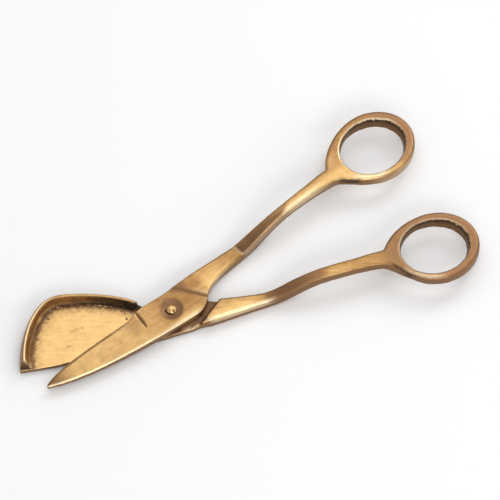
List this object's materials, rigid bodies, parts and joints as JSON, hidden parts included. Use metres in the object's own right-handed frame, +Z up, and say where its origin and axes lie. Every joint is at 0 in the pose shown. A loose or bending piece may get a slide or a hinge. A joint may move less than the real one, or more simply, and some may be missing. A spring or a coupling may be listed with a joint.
{
  "type": "candle wick trimmer",
  "caption": "Scissor-like candle wick trimmer: a canted blade shears over the mouth of a leaf-shaped tray with a raised wall, worked by two oval finger rings on cranked shanks.",
  "frame": {"origin": "on the pivot's axis, on the flat underside that the trimmer rests on", "axes": "+X from the pivot towards the finger rings, along the straight outer edge of the tray half; +Y towards the side on which the tray's back and the blade half's handle lie; +Z up out of the resting plane, along the pivot"},
  "size_m": [0.1779, 0.0768, 0.0112],
  "materials": {
    "tray_half": "satin, aged",
    "tray_wall": "satin, aged",
    "blade_half": "satin, aged",
    "pivot_rivet": "hammered, rubbed bright"
  },
  "bodies": {
    "tray_body": {"tray_half": "tray_half", "tray_wall": "tray_wall", "pivot_rivet": "pivot_rivet"},
    "blade_body": {"blade_half": "blade_half"}
  },
  "joints": [
    {"name": "pivot", "type": "hinge", "parent": "tray_body", "child": "blade_body", "pos_m": [0, 0, 0.004], "axis": [0, 0, 1], "range_deg": [-10.5, 40]}
  ]
}
